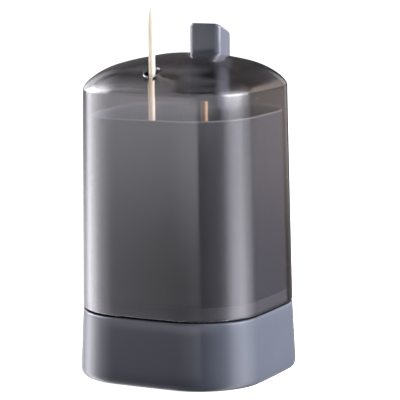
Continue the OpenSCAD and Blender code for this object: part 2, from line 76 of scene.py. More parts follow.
def directionTo(azimuth, elevation):
    # Unit vector; the azimuth runs from the front to the right, in degrees
    a, e = math.radians(azimuth), math.radians(elevation)
    return Vector((math.sin(a) * math.cos(e), -math.cos(a) * math.cos(e), math.sin(e)))


def turnedPair(a, b, angle):
    # Two axes turned in their own plane
    return a * math.cos(angle) + b * math.sin(angle), b * math.cos(angle) - a * math.sin(angle)


def makeCamera(s):
    back = directionTo(s["azimuth"], s["elevation"])
    forward = -back
    right = forward.cross(Vector((0, 0, 1))).normalized()
    up = right.cross(forward)
    yaw, pitch, roll = (math.radians(s[k]) for k in ("yaw", "pitch", "roll"))
    forward, right = turnedPair(forward, right, yaw)
    forward, up = turnedPair(forward, up, pitch)
    right, up = turnedPair(right, up, roll)
    data = bpy.data.cameras.new("photoCamera")
    data.sensor_width = s["sensor"]
    data.lens = s["focalPixels"] / s["framePixels"] * data.sensor_width
    camera = newObject("photoCamera", data)
    place = (Vector(s["target"]) + back * s["distance"]) * mm
    turn = Matrix((right, up, -forward)).transposed().to_4x4()
    camera.matrix_world = Matrix.Translation(place) @ turn
    bpy.context.scene.camera = camera


makeCamera(cameraSettings)
print("camera placed")


# Mesh helpers: sizes are in millimetres until the mesh is made

meshSettings = {
    "weld": 0.008, "same": 0.0001, "roundSteps": 64, "bossSteps": 32, "cornerSteps": 10, "sharpAngle": 32,
}


def boxOf(node):
    # Low and high corner of a CAD node in mm
    return [tuple(v / mm for v in corner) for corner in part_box(node)]


def meshPiece(name, points, faces):
    mesh = bpy.data.meshes.new(name)
    mesh.from_pydata([(x * mm, y * mm, z * mm) for x, y, z in points], [], faces)
    mesh.update()
    return newObject(name, mesh)


def evaluated(piece):
    # Bake the modifiers into a plain mesh
    graph = bpy.context.evaluated_depsgraph_get()
    mesh = bpy.data.meshes.new_from_object(piece.evaluated_get(graph))
    piece.modifiers.clear()
    old = piece.data
    piece.data = mesh
    bpy.data.meshes.remove(old)
    return piece


def welded(piece, reach, isTurned=False):
    # Merge points closer than reach and, if asked, turn every face outward
    work = bmesh.new()
    work.from_mesh(piece.data)
    bmesh.ops.remove_doubles(work, verts=work.verts, dist=reach * mm)
    if isTurned:
        bmesh.ops.recalc_face_normals(work, faces=work.faces)
    work.to_mesh(piece.data)
    work.free()
    return piece


def outward(piece):
    return welded(piece, meshSettings["same"], True)


def combine(piece, other, how):
    change = piece.modifiers.new("combine", "BOOLEAN")
    change.operation = how
    change.solver = "EXACT"
    change.object = other
    bpy.context.view_layer.update()
    evaluated(piece)
    welded(piece, meshSettings["weld"])
    bpy.data.objects.remove(other, do_unlink=True)


def bevelled(piece, width, segments, angle):
    bevel = piece.modifiers.new("bevel", "BEVEL")
    bevel.width = width * mm
    bevel.segments = segments
    bevel.limit_method = "ANGLE"
    bevel.angle_limit = math.radians(angle)
    bpy.context.view_layer.update()
    evaluated(piece)


def cut(piece, other):
    combine(piece, other, "DIFFERENCE")


def smoothed(piece, angle=meshSettings["sharpAngle"]):
    piece.data.shade_smooth()
    piece.data.set_sharp_from_angle(angle=math.radians(angle))


def joined(name, pieces):
    points, faces, start = [], [], 0
    for piece in pieces:
        points += [tuple(v.co / mm) for v in piece.data.vertices]
        faces += [[start + v for v in face.vertices] for face in piece.data.polygons]
        start = len(points)
        bpy.data.objects.remove(piece, do_unlink=True)
    return meshPiece(name, points, faces)


def extruded(name, outline, low, high):
    # Upright prism; its top is a height or a function of a point
    highAt = high if callable(high) else lambda x, y: high
    n = len(outline)
    points = [(x, y, low) for x, y in outline] + [(x, y, highAt(x, y)) for x, y in outline]
    faces = [[i, (i + 1) % n, n + (i + 1) % n, n + i] for i in range(n)]
    faces += [list(range(n))[::-1], list(range(n, 2 * n))]
    return outward(meshPiece(name, points, faces))


def ringFaces(pairs, n):
    # Faces between rows of n points; a row of one point is a pole
    faces = []
    for a, b in pairs:
        for i in range(n):
            j = (i + 1) % n
            if len(a) == 1 and len(b) == 1:
                continue
            if len(a) == 1:
                faces.append([a[0], b[j], b[i]])
            elif len(b) == 1:
                faces.append([a[i], a[j], b[0]])
            else:
                faces.append([a[i], a[j], b[j], b[i]])
    return faces


def lathed(name, profile, centre=(0, 0), steps=meshSettings["roundSteps"], shear=0):
    # Profile of radius and height round an upright axis; a radius of 0 closes it
    points, rows = [], []
    for radius, z in profile:
        if radius == 0:
            rows.append([len(points)])
            points.append((centre[0], centre[1], z))
            continue
        rows.append(range(len(points), len(points) + steps))
        for i in range(steps):
            turn = 2 * math.pi * i / steps
            y = radius * math.sin(turn)
            points.append((centre[0] + radius * math.cos(turn), centre[1] + y, z + shear * y))
    return outward(meshPiece(name, points, ringFaces(zip(rows, rows[1:]), steps)))


def fourBosses(profile, at):
    return [lathed("boss", profile, (x * at[0], y * at[1]), meshSettings["bossSteps"])
            for x in (-1, 1) for y in (-1, 1)]


def arc(centre, radius, fromAngle, toAngle, steps, high=0):
    # Points of an arc in half width and height, or of an ellipse this high
    result = []
    for i in range(steps + 1):
        turn = math.radians(fromAngle + (toAngle - fromAngle) * i / steps)
        result.append((centre[0] + radius * math.cos(turn), centre[1] + (high or radius) * math.sin(turn)))
    return result


def roundedOutline(wide, deep, radius, centre=(0, 0), steps=meshSettings["cornerSteps"]):
    outline = []
    for k, (sx, sy) in enumerate(((1, 1), (-1, 1), (-1, -1), (1, -1))):
        middle = sx * (wide / 2 - radius), sy * (deep / 2 - radius)
        outline += [(centre[0] + x, centre[1] + y)
                    for x, y in arc(middle, radius, 90 * k, 90 * k + 90, steps)]
    return outline


def oblong(x0, x1, y0, y1):
    # Four corners; from the axis on, the profile of a plain rod
    return [(x0, y0), (x1, y0), (x1, y1), (x0, y1)]


# The plan shared by all shells: a rounded square whose faces swell a little

planSettings = {"corner": 18.3, "swell": 1.0, "points": 224}
coverLow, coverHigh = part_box("cover")
coverHalf = coverHigh[0] / mm - planSettings["swell"]


def planPoint(turn):
    c, s = math.cos(turn), math.sin(turn)
    high, low = max(abs(c), abs(s)), min(abs(c), abs(s))
    flat = coverHalf - planSettings["corner"]
    q = flat * (high + low)
    if low * coverHalf / high <= flat:
        reach = coverHalf / high
    else:
        reach = q + math.sqrt(q * q - 2 * flat * flat + planSettings["corner"] ** 2)
    x, y = c * reach, s * reach
    swell = planSettings["swell"]
    return (x + math.copysign(swell, x) * max(0, 1 - (y / coverHalf) ** 2) * (x / coverHalf) ** 2,
            y + math.copysign(swell, y) * max(0, 1 - (x / coverHalf) ** 2) * (y / coverHalf) ** 2)


plan = [planPoint(2 * math.pi * i / planSettings["points"]) for i in range(planSettings["points"])]


def ringShell(name, profile):
    # Closed shell through scaled copies of the plan, given as half width and height
    points, rows = [], []
    for half, z in profile:
        if half == 0:
            rows.append([len(points)])
            points.append((0, 0, z))
            continue
        rows.append(range(len(points), len(points) + len(plan)))
        points += [(x * half / coverHalf, y * half / coverHalf, z) for x, y in plan]
    return outward(meshPiece(name, points, ringFaces(zip(rows, rows[1:] + rows[:1]), len(plan))))


# Shader helpers and groups: colours, masks and values that several finishes share

def feed(tree, value, socket):
    # Link an output, or else set the value
    if isinstance(value, bpy.types.NodeSocket):
        tree.links.new(value, socket)
    else:
        socket.default_value = (*value, 1) if socket.type == "RGBA" else value


def feedAll(tree, node, values):
    # Feed the inputs of a node by name or number
    for label, value in dict(values).items():
        feed(tree, value, node.inputs[label])
    return node


def newNode(tree, kind, values=()):
    return feedAll(tree, tree.nodes.new(kind), values)


def mathNode(tree, operation, a, b=0, clamp=False):
    node = newNode(tree, "ShaderNodeMath", {0: a, 1: b})
    node.operation = operation
    node.use_clamp = clamp
    return node.outputs[0]


def plus(tree, a, b, clamp=False):
    return mathNode(tree, "ADD", a, b, clamp)


def minus(tree, a, b, clamp=False):
    return mathNode(tree, "SUBTRACT", a, b, clamp)


def times(tree, a, b, clamp=False):
    return mathNode(tree, "MULTIPLY", a, b, clamp)


def objectPlace(tree):
    return newNode(tree, "ShaderNodeTexCoord").outputs["Object"]


def stretched(tree, place, by):
    node = newNode(tree, "ShaderNodeVectorMath", {0: place, 1: by})
    node.operation = "MULTIPLY"
    return node.outputs[0]


def noiseNode(tree, vector, scale, detail, roughness=0.5):
    return newNode(tree, "ShaderNodeTexNoise", {
        "Vector": vector, "Scale": scale, "Detail": detail, "Roughness": roughness}).outputs["Fac"]


def mixColour(tree, factor, a, b, blend="MIX"):
    node = newNode(tree, "ShaderNodeMix")
    node.data_type = "RGBA"
    node.blend_type = blend
    colours = [s for s in node.inputs if s.type == "RGBA"]
    for value, socket in zip((factor, a, b), [node.inputs[0]] + colours):
        feed(tree, value, socket)
    return [s for s in node.outputs if s.type == "RGBA"][0]


def shaded(tree, colour, level):
    return newNode(tree, "ShaderNodeHueSaturation", {"Color": colour, "Value": level}).outputs["Color"]


def finishGroup(name, inputs):
    tree = bpy.data.node_groups.new(name, "ShaderNodeTree")
    for label, kind in inputs:
        tree.interface.new_socket(label, in_out="INPUT", socket_type="NodeSocket" + kind)
    for label, kind in (("Colour", "Color"), ("Roughness", "Float"), ("Height", "Float")):
        tree.interface.new_socket(label, in_out="OUTPUT", socket_type="NodeSocket" + kind)
    return tree, newNode(tree, "NodeGroupInput").outputs, newNode(tree, "NodeGroupOutput")


# Noise is given as scale, detail and roughness
mouldedSettings = {
    "cloud": (60, 4), "grainDetail": 2, "scuff": (900, 6, 0.7), "scuffFrom": 0.6, "scuffHigh": 2,
    "middle": 0.5, "toneGain": 4, "toneRough": 0.8,
}


def mouldedGroup(s):
    # Moulded plastic: cloudy tone, fine grain and a few faint scuffs
    tree, given, out = finishGroup("mouldedPlastic", [
        ("Colour", "Color"), ("Tone", "Float"), ("Grain size", "Float"), ("Roughness", "Float"),
        ("Scuffs", "Float")])
    place = objectPlace(tree)
    cloud = noiseNode(tree, place, *s["cloud"])
    grain = noiseNode(tree, place, given["Grain size"], s["grainDetail"])
    scuffs = minus(tree, noiseNode(tree, place, *s["scuff"]), s["scuffFrom"], True)
    shift = times(tree, minus(tree, cloud, s["middle"]), given["Tone"])
    level = plus(tree, times(tree, shift, s["toneGain"]), 1)
    rough = plus(tree, given["Roughness"], times(tree, shift, s["toneRough"]))
    feedAll(tree, out, {
        "Colour": shaded(tree, given["Colour"], level),
        "Roughness": plus(tree, rough, times(tree, scuffs, given["Scuffs"]), True),
        "Height": plus(tree, grain, times(tree, scuffs, s["scuffHigh"]))})
    return tree


drawnSettings = {
    "streak": (2500, 5, 0.65), "cloud": (300, 3), "shadeGain": 0.25, "shadeLow": 0.87,
    "streakRough": 0.2, "cloudRough": 0.1, "roughMiddle": 0.15,
}


def drawnSteelGroup(s):
    # Drawn wire and sheet: fine streaks along one axis
    tree, given, out = finishGroup("drawnSteel", [
        ("Colour", "Color"), ("Stretch", "Vector"), ("Roughness", "Float")])
    place = objectPlace(tree)
    streak = noiseNode(tree, stretched(tree, place, given["Stretch"]), *s["streak"])
    cloud = noiseNode(tree, place, *s["cloud"])
    level = plus(tree, times(tree, streak, s["shadeGain"]), s["shadeLow"])
    spread = plus(tree, times(tree, streak, s["streakRough"]), times(tree, cloud, s["cloudRough"]))
    feedAll(tree, out, {
        "Colour": shaded(tree, given["Colour"], level),
        "Roughness": plus(tree, given["Roughness"], minus(tree, spread, s["roughMiddle"]), True),
        "Height": streak})
    return tree


birchSettings = {
    "stretch": (1, 1, 0.05), "fibre": (5, 0.6), "broad": (500, 3), "poreFrom": 0.42, "poreGain": 3.2,
    "poreShare": 0.55, "broadShare": 0.3, "roughGain": 0.2, "roughLow": 0.5,
}


def birchGroup(s):
    # Turned birch: long fibres, a few darker pores and a warmer core
    tree, given, out = finishGroup("birchFibre", [
        ("Pale", "Color"), ("Warm", "Color"), ("Fibre size", "Float")])
    place = stretched(tree, objectPlace(tree), s["stretch"])
    fibre = noiseNode(tree, place, given["Fibre size"], *s["fibre"])
    broad = noiseNode(tree, place, *s["broad"])
    pores = times(tree, minus(tree, fibre, s["poreFrom"]), s["poreGain"], True)
    mask = plus(tree, times(tree, pores, s["poreShare"]), times(tree, broad, s["broadShare"]), True)
    feedAll(tree, out, {
        "Colour": mixColour(tree, mask, given["Pale"], given["Warm"]),
        "Roughness": plus(tree, times(tree, fibre, s["roughGain"]), s["roughLow"]),
        "Height": fibre})
    return tree


moulded, drawnSteel = mouldedGroup(mouldedSettings), drawnSteelGroup(drawnSettings)
birch = birchGroup(birchSettings)


def newMaterial(name):
    material = bpy.data.materials.new(name)
    material.use_nodes = True
    tree = material.node_tree
    return material, tree, tree.nodes["Principled BSDF"]


def groupedMaterial(name, group, values, bump, plain=()):
    material, tree, shader = newMaterial(name)
    node = newNode(tree, "ShaderNodeGroup")
    node.node_tree = group
    feedAll(tree, node, enumerate(values))
    relief = newNode(tree, "ShaderNodeBump", {
        "Strength": bump[0], "Distance": bump[1] * mm, "Height": node.outputs["Height"]})
    feedAll(tree, shader, {
        "Base Color": node.outputs["Colour"], "Roughness": node.outputs["Roughness"],
        "Normal": relief.outputs["Normal"], **dict(plain)})
    return material


smokeSettings = {
    "colour": (0.725, 0.675, 0.66), "shadow": (0.96, 0.93, 0.92), "ior": 1.49, "roughness": 0.11,
    "smudge": (120, 4), "hair": (2500, 5, 0.7), "smudgeRough": 0.05, "hairRough": 0.02,
    "roughMiddle": 0.035,
}


def smokeMaterial(s):
    # See-through smoke plastic; shadow rays pass straight so that the inside is lit
    material, tree, shader = newMaterial("smokePlastic")
    place = objectPlace(tree)
    smudge = times(tree, noiseNode(tree, place, *s["smudge"]), s["smudgeRough"])
    hair = times(tree, noiseNode(tree, place, *s["hair"]), s["hairRough"])
    rough = plus(tree, plus(tree, smudge, hair), s["roughness"] - s["roughMiddle"], True)
    feedAll(tree, shader, {
        "Base Color": s["colour"], "Transmission Weight": 1, "IOR": s["ior"], "Roughness": rough})
    through = newNode(tree, "ShaderNodeBsdfTransparent", {"Color": s["shadow"]})
    isShadow = newNode(tree, "ShaderNodeLightPath").outputs["Is Shadow Ray"]
    mix = newNode(tree, "ShaderNodeMixShader", {0: isShadow, 1: shader.outputs[0], 2: through.outputs[0]})
    feedAll(tree, tree.nodes["Material Output"], {"Surface": mix.outputs[0]})
    return material


# Bands of painted shade on the ledge under the cover and of painted highlight on the hopper's rim: heights
# in mm
gapShadeSettings = {"low": 21.36, "high": 21.40, "top": 22.1, "clear": 22.7, "share": 0.16, "specular": 0.25}
rimHighlightSettings = {"low": 82.9, "high": 83.2, "top": 90, "clear": 91, "colour": (0.23, 0.24, 0.27)}


def bandMask(tree, s):
    # 1 between the heights high and top, fading to 0 at low and clear
    axes = newNode(tree, "ShaderNodeSeparateXYZ", {0: objectPlace(tree)})
    above = minus(tree, axes.outputs[2], s["low"] * mm)
    below = minus(tree, s["clear"] * mm, axes.outputs[2])
    return times(tree, mathNode(tree, "DIVIDE", above, (s["high"] - s["low"]) * mm, True),
                 mathNode(tree, "DIVIDE", below, (s["clear"] - s["top"]) * mm, True))


def opened(material):
    # Tree, shader and the output that feeds its colour
    tree = material.node_tree
    shader = tree.nodes["Principled BSDF"]
    return tree, shader, shader.inputs["Base Color"].links[0].from_socket


def paintedRimHighlight(material, s):
    # Painted highlight: the hopper's crest is lightened in colour as if it caught the light
    tree, shader, source = opened(material)
    feedAll(tree, shader, {"Base Color": mixColour(tree, bandMask(tree, s), source, s["colour"])})


def paintedGapShade(material, s):
    # Painted shade: the ledge under the cover's edge is darkened in colour and loses its gloss, standing in
    # for the shade in the gap
    tree, shader, source = opened(material)
    mask = bandMask(tree, s)
    dark = mixColour(tree, 1, source, (s["share"],) * 3, "MULTIPLY")
    feedAll(tree, shader, {
        "Base Color": mixColour(tree, mask, source, dark),
        "Specular IOR Level": times(tree, minus(tree, 1, mask), s["specular"])})


slateValues = ((0.1, 0.112, 0.15), 0.03, 5000, 0.16, 0.05)
# Material name, group, its values in the order of its inputs, strength and depth in mm of the relief,
# and values of the shader itself
finishTable = {
    "slate": ("slatePlastic", moulded, slateValues, (0.02, 0.01), {"Specular IOR Level": 0.25}),
    "slateBase": ("slateBasePlastic", moulded, slateValues, (0.02, 0.01)),
    "hopper": ("hopperPlastic", moulded, ((0.062, 0.071, 0.098), 0.05, 6000, 0.2, 0.1), (0.02, 0.01),
               {"Specular IOR Level": 0.35}),
    "floor": ("floorPlastic", moulded, ((0.1, 0.11, 0.14), 0.05, 6000, 0.4, 0.2), (0.08, 0.02)),
    "plate": ("platePlastic", moulded, ((0.07, 0.075, 0.09), 0.08, 2500, 0.55, 0.25), (0.35, 0.05)),
    "bracket": ("bracketPlastic", moulded, ((0.22, 0.23, 0.25), 0.05, 6000, 0.42, 0.1), (0.1, 0.02)),
    "acetal": ("acetalPlastic", moulded, ((0.74, 0.74, 0.7), 0.03, 6000, 0.38, 0.1), (0.06, 0.02)),
    "rubber": ("footRubber", moulded, ((0.025, 0.025, 0.027), 0.1, 1800, 0.8, 0.15), (0.5, 0.06)),
    "steel": ("drawnSteelFinish", drawnSteel, ((0.58, 0.58, 0.6), (1, 1, 0.06), 0.25), (0.12, 0.01),
              {"Metallic": 1}),
    "blackSteel": ("blackSpringSteel", drawnSteel, ((0.05, 0.05, 0.055), (1, 1, 1), 0.4), (0.12, 0.01),
                   {"Metallic": 1}),
    "birch": ("birchWood", birch, ((0.93, 0.79, 0.68), (0.85, 0.66, 0.51), 1500), (0.35, 0.03),
              {"Specular IOR Level": 0.3, "Subsurface Weight": 1, "Subsurface Scale": 0.005,
               "Subsurface Radius": (1, 0.9, 0.8)}),
    # A shaded copy of the birch, without subsurface: painted darker and warmer for the shade on the stored
    # pick inside the hopper
    "shadedBirch": ("shadedBirchWood", birch, ((0.6, 0.42, 0.27), (0.4, 0.25, 0.15), 1500), (0.35, 0.03),
                  {"Specular IOR Level": 0.3}),
}
finishes = {"smoke": smokeMaterial(smokeSettings)}
for finish, row in finishTable.items():
    finishes[finish] = groupedMaterial(*row)
# Painted shade on the ledge under the cover's edge, painted highlight on the hopper's crest
paintedGapShade(finishes["slateBase"], gapShadeSettings)
paintedRimHighlight(finishes["hopper"], rimHighlightSettings)
print("materials made")


def finished(piece, finish, body, slot, *nodes):
    piece.data.materials.clear()
    piece.data.materials.append(finishes[finish])
    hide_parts(*nodes)
    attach(piece, body)


# Cover: smoke shell with a lipped outlet and a slot for the tab

coverSettings = {
    "lean": 0.92, "shoulder": 90.7, "shoulderWide": 9.7, "shoulderHigh": 3.8, "crown": 6.9, "crownPower": 2,
    "wall": 1.4, "edge": 0.4, "edgeSteps": 5, "sideSteps": 12, "shoulderSteps": 20, "crownSteps": 26,
    "poleClear": 1.2,  # walls from the axis to the innermost ring of the inside
    "outlet": 4.4, "lipWide": 0.55, "lipHigh": 0.35, "lipSlope": 25.3, "lipArc": (0, 80, 8),
    "flareArc": (180, 105, 6), "boreReach": 6,
    "tabGap": 0.4, "slotCorner": 2.6, "slotCut": (84, 110),
    "slotShift": (0.003, 0.002),  # keeps the cut off the edges of the shell
}
raisedLow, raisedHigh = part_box("raised_toothpick")
tabLow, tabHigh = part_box("press_tab")
outletAt = (0, (raisedLow[1] + raisedHigh[1]) / 2 / mm)
tabMiddle = (0, (tabLow[1] + tabHigh[1]) / 2 / mm)
tabWide, tabDeep = (tabHigh[0] - tabLow[0]) / mm, (tabHigh[1] - tabLow[1]) / mm


def sideHalf(z, s=coverSettings):
    return coverHalf - math.tan(math.radians(s["lean"])) * (z - coverLow[2] / mm)


def domeProfile(s):
    half = sideHalf(s["shoulder"])

    def crown(k):
        return s["crown"] * (1 - (k / half) ** s["crownPower"])

    profile = []
    for i in range(s["shoulderSteps"] + 1):
        turn = math.pi / 2 * i / s["shoulderSteps"]
        k = half - s["shoulderWide"] * (1 - math.cos(turn))
        profile.append((k, s["shoulder"] + s["shoulderHigh"] * math.sin(turn) + crown(k)))
    inner = half - s["shoulderWide"]
    for i in range(1, s["crownSteps"] + 1):
        k = inner * (1 - i / s["crownSteps"])
        profile.append((k, s["shoulder"] + s["shoulderHigh"] + crown(k)))
    return profile


def domeHeight(half, s=coverSettings):
    # Height of the dome over a ring of this half width
    rows = sorted(domeProfile(s))
    for (a, za), (b, zb) in zip(rows, rows[1:]):
        if a <= half <= b:
            return za + (zb - za) * (half - a) / (b - a)
    return rows[-1][1]


def makeCover(s):
    low, wall = coverLow[2] / mm, s["wall"]
    turns = (math.pi / 2 * i / s["edgeSteps"] for i in range(s["edgeSteps"] + 1))
    edge = [(coverHalf - s["edge"] + s["edge"] * math.sin(a), low + s["edge"] - s["edge"] * math.cos(a))
            for a in turns]
    heights = (low + (s["shoulder"] - low) * i / s["sideSteps"] for i in range(1, s["sideSteps"]))
    side = [(sideHalf(z), z) for z in heights]
    dome = domeProfile(s)
    inside = [(k - wall, z - wall) for k, z in dome if k > wall * s["poleClear"]]
    inside.append((0, dome[-1][1] - wall))
    innerSide = [(k - wall, z) for k, z in side]
    shell = ringShell("coverShell", edge + side + dome + inside[::-1] + innerSide[::-1]
                      + [(coverHalf - wall, low)])
    outletHalf = -outletAt[1] * coverHalf / (coverHalf + planSettings["swell"])
    top = domeHeight(outletHalf)
    slope = math.tan(math.radians(s["lipSlope"]))
    bore, lip, reach = s["outlet"] / 2, s["lipWide"], s["boreReach"]
    crest = top + s["lipHigh"] - lip / 2
    ring = (bore + lip / 2, crest), lip / 2
    lipProfile = [(0, top - wall / 2), (bore + lip, top - wall / 2)] + arc(*ring, *s["lipArc"])
    lipProfile.append((0, crest + lip / 2))
    combine(shell, lathed("lip", lipProfile, outletAt, shear=slope), "UNION")
    flare = arc(*ring, *s["flareArc"])
    boreProfile = [(0, top - reach), (bore, top - reach)] + flare
    boreProfile += [(flare[-1][0], top + reach), (0, top + reach)]
    cut(shell, lathed("bore", boreProfile, outletAt, shear=slope))
    slotAt = (tabMiddle[0] + s["slotShift"][0], tabMiddle[1] + s["slotShift"][1])
    gap = 2 * s["tabGap"]
    slot = roundedOutline(tabWide + gap, tabDeep + gap, s["slotCorner"], slotAt)
    cut(shell, extruded("slot", slot, *s["slotCut"]))
    smoothed(shell)
    finished(shell, "smoke", "lid", "smoke_cover", "cover")


makeCover(coverSettings)
print("cover made")


# Base: slate shell with rounded edges, the ledge for the cover and the collar inside it

baseSettings = {
    "flare": 0.8, "toeInset": 0.9, "toeHigh": 2.0, "toeSteps": 10, "top": 21.4, "rim": 0.6, "rimSteps": 6,
    "sideSteps": 6, "deck": 2.0, "wall": 2.2, "collarGap": 1.75, "collarThick": 1.3, "crest": 0.3,
    "crestSteps": 4, "openWide": 34.2, "openDeep": 50.3, "openCorner": 4, "holeInset": 3,
    "notch": 1.9, "notchCorner": 0.3, "notchSteps": 3, "notchAt": (0, -1.0), "over": 0.5, "reach": 1,
    "boss": 5.4, "bossAt": (23.13, 7.97), "bossLow": 2.4,
}
baseLow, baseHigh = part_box("base_housing")


def makeBase(s):
    low, collarTop = baseLow[2] / mm, baseHigh[2] / mm
    toeHalf, top, crest = coverHalf + s["flare"], s["top"], s["crest"]
    inset, high, soft, n = s["toeInset"], s["toeHigh"], s["rim"], s["sideSteps"]
    toe = arc((toeHalf - inset, low + high), inset, -90, 0, s["toeSteps"], high)
    rim = arc((coverHalf - soft, top - soft), soft, 0, 90, s["rimSteps"])
    side = [(toeHalf + (coverHalf - toeHalf) * i / n, low + high + (top - soft - low - high) * i / n)
            for i in range(1, n)]
    collarOut = coverHalf - s["collarGap"]
    collarIn = collarOut - s["collarThick"]
    collar = []
    for middle, fromAngle in ((collarOut - crest, 0), (collarIn + crest, 90)):
        collar += arc((middle, collarTop - crest), crest, fromAngle, fromAngle + 90, s["crestSteps"])
    under = top - s["deck"]
    hole = s["openWide"] / 2 - s["holeInset"]
    profile = toe + side + rim + [(collarOut, top)] + collar + [(collarIn, top), (hole, top)]
    profile += [(hole, under), (coverHalf - s["wall"], under), (coverHalf - s["wall"], low)]
    shell = ringShell("baseShell", profile)
    opening = roundedOutline(s["openWide"], s["openDeep"], s["openCorner"])
    cut(shell, extruded("opening", opening, under - s["reach"], top + s["reach"]))
    notch = roundedOutline(s["notch"], 2 * collarIn, s["notchCorner"], s["notchAt"], s["notchSteps"])
    cut(shell, extruded("notch", notch, under - s["reach"], top + s["over"]))
    bosses = fourBosses(oblong(0, s["boss"] / 2, s["bossLow"], under + s["over"]), s["bossAt"])
    shell = joined("baseShell", [shell] + bosses)
    smoothed(shell)
    finished(shell, "slateBase", "base", "slate_plastic", "base_housing")


makeBase(baseSettings)
print("base made")


# Hopper: slate wall with a rounded rim, the guide, and the shaft for the tab

hopperSettings = {
    "low": 26.15, "leanFrom": 26.1, "gap": 1.75, "wall": 1.4, "wallSteps": 8, "rimSteps": 12,
    "corner": 0.3, "cornerSteps": 3, "reach": 1,
    "guideBore": 2.0, "guideSteps": 48, "guideOut": 3.2, "guideTop": 80, "guideReach": 2, "rib": (4.3, 6),
    "mouth": 2.6, "mouthFrom": 0.3, "mouthTo": 6, "mouthShift": 0.003, "slit": 1.9, "slitFrom": 0.8,
    "slitTo": 1, "slitTop": 41,
    "shaftWall": 1.2, "shaftGap": 0.4, "shaftLow": 26.1, "back": 10, "backShift": 4.8, "pocket": 6,
    "shelf": (52, 56), "stemBore": 2.2, "stemSteps": 40, "stemCut": (50, 58), "window": (7.0, 27.3),
    "boss": 5.4, "bossAt": (21.39, 18.33), "bossHigh": (22.4, 32.4), "bossEdge": 0.6,
}


def makeGuide(s, low, top, front, lean):
    # Tube round the lifter, tied to the front wall and open towards the magazine
    y, reach, highest = outletAt[1], s["reach"], top + s["guideReach"]
    guide = lathed("guide", oblong(0, s["guideOut"], low, s["guideTop"]), outletAt)
    wide, deep = s["rib"]
    outline = roundedOutline(wide, deep, s["corner"], (0, front + deep / 2), s["cornerSteps"])
    ribs = extruded("ribs", outline, low, s["guideTop"])
    for corner in ribs.data.vertices:  # the front wall leans back
        corner.co.y += lean * (corner.co.z - low * mm)
    combine(guide, ribs, "UNION")
    bore = oblong(0, s["guideBore"], low - reach, highest)
    cut(guide, lathed("guideBore", bore, outletAt, s["guideSteps"]))
    half = s["mouth"] / 2
    mouth = oblong(-half, half, y + s["mouthFrom"], y + s["mouthTo"])
    mouth[0] = (mouth[0][0] + s["mouthShift"], mouth[0][1])
    cut(guide, extruded("mouth", mouth, low - reach, highest))
    half = s["slit"] / 2
    slit = oblong(-half, half, front + s["slitFrom"], y + s["slitTo"])
    cut(guide, extruded("slit", slit, low - reach, s["slitTop"]))
    return guide


def makeShaft(s, top):
    # Shaft for the tab with a shelf for the spring, joined to the back wall
    y, corner, steps, reach = tabMiddle[1], s["corner"], s["cornerSteps"], s["reach"]
    gap, wall, low = 2 * s["shaftGap"], s["shaftWall"], s["shaftLow"]
    wide, deep = tabWide + gap, tabDeep + gap
    shaft = extruded("shaft", roundedOutline(wide + 2 * wall, deep + 2 * wall, wall, tabMiddle), low, top)
    back = roundedOutline(wide + 2 * wall, s["back"], corner, (0, y + s["backShift"]), steps)
    combine(shaft, extruded("back", back, low, top), "UNION")
    well = roundedOutline(wide, deep, corner, tabMiddle, steps)
    for a, b in ((low - reach, s["shelf"][0]), (s["shelf"][1], top + reach)):
        cut(shaft, extruded("well", well, a, b))
    pocket = roundedOutline(wide, s["pocket"], corner, (0, y + deep / 2 + wall + s["pocket"] / 2), steps)
    cut(shaft, extruded("pocket", pocket, low - reach, top + reach))
    cut(shaft, lathed("stemBore", oblong(0, s["stemBore"], *s["stemCut"]), tabMiddle, s["stemSteps"]))
    half = s["window"][0] / 2
    cut(shaft, extruded("window", oblong(-half, half, y - deep, y), low - reach, s["window"][1]))
    return shaft


def makeHopper(s):
    low, top = s["low"], boxOf("hopper")[1][2]
    out = [sideHalf(s["leanFrom"]) - s["gap"], sideHalf(top) - s["gap"]]
    r, n = s["wall"] / 2, s["wallSteps"]
    crest = arc((out[1] - r, top - r), r, 0, 180, s["rimSteps"])
    outer = [(out[0] + (out[1] - out[0]) * t, low + (top - r - low) * t) for t in (i / n for i in range(n))]
    inner = [(k - s["wall"], z) for k, z in reversed(outer)]
    wall = ringShell("hopperWall", outer + crest + inner)
    front = -(out[0] + planSettings["swell"] - s["wall"] / 2)
    guide = makeGuide(s, low, top, front, (out[0] - out[1]) / (top - low))
    shaft = makeShaft(s, top)
    boss, edge, (bossLow, bossTop) = s["boss"] / 2, s["bossEdge"], s["bossHigh"]
    bosses = fourBosses([(0, bossLow), (boss, bossLow), (boss, bossTop - edge), (boss - edge, bossTop),
                         (0, bossTop)], s["bossAt"])
    hopper = joined("hopperShell", [wall, guide, shaft] + bosses)
    smoothed(hopper)
    finished(hopper, "hopper", "base", "hopper_plastic", "hopper")


makeHopper(hopperSettings)
print("hopper made")


# Tab: sloping top with soft edges

tabSettings = {
    "corner": 2.2, "cornerSteps": 12, "slope": 22, "edge": 1.1, "edgeSteps": 6, "edgeAngle": 40,
    "sharpAngle": 50,
}


def makeTab(s):
    low, high, front = tabLow[2] / mm, tabHigh[2] / mm, tabLow[1] / mm
    slope = math.tan(math.radians(s["slope"]))
    outline = roundedOutline(tabWide, tabDeep, s["corner"], tabMiddle, s["cornerSteps"])
    tab = extruded("pressTab", outline, low, lambda x, y: high - (y - front) * slope)
    bevelled(tab, s["edge"], s["edgeSteps"], s["edgeAngle"])
    smoothed(tab, s["sharpAngle"])
    finished(tab, "slate", "tab", "slate_plastic", "press_tab")


makeTab(tabSettings)


# Toothpicks: turned birch with a long point below; the stored one is cut off square above

pickSettings = {
    "thick": 2.0, "tip": 0.8, "nose": (0.7, 0.02), "noseHigh": 0.15, "taper": 6.0, "taperSteps": 10,
    "bulge": 0.9, "blunt": 0.2, "bluntSteps": 4, "steps": 40, "sharpAngle": 60,
}


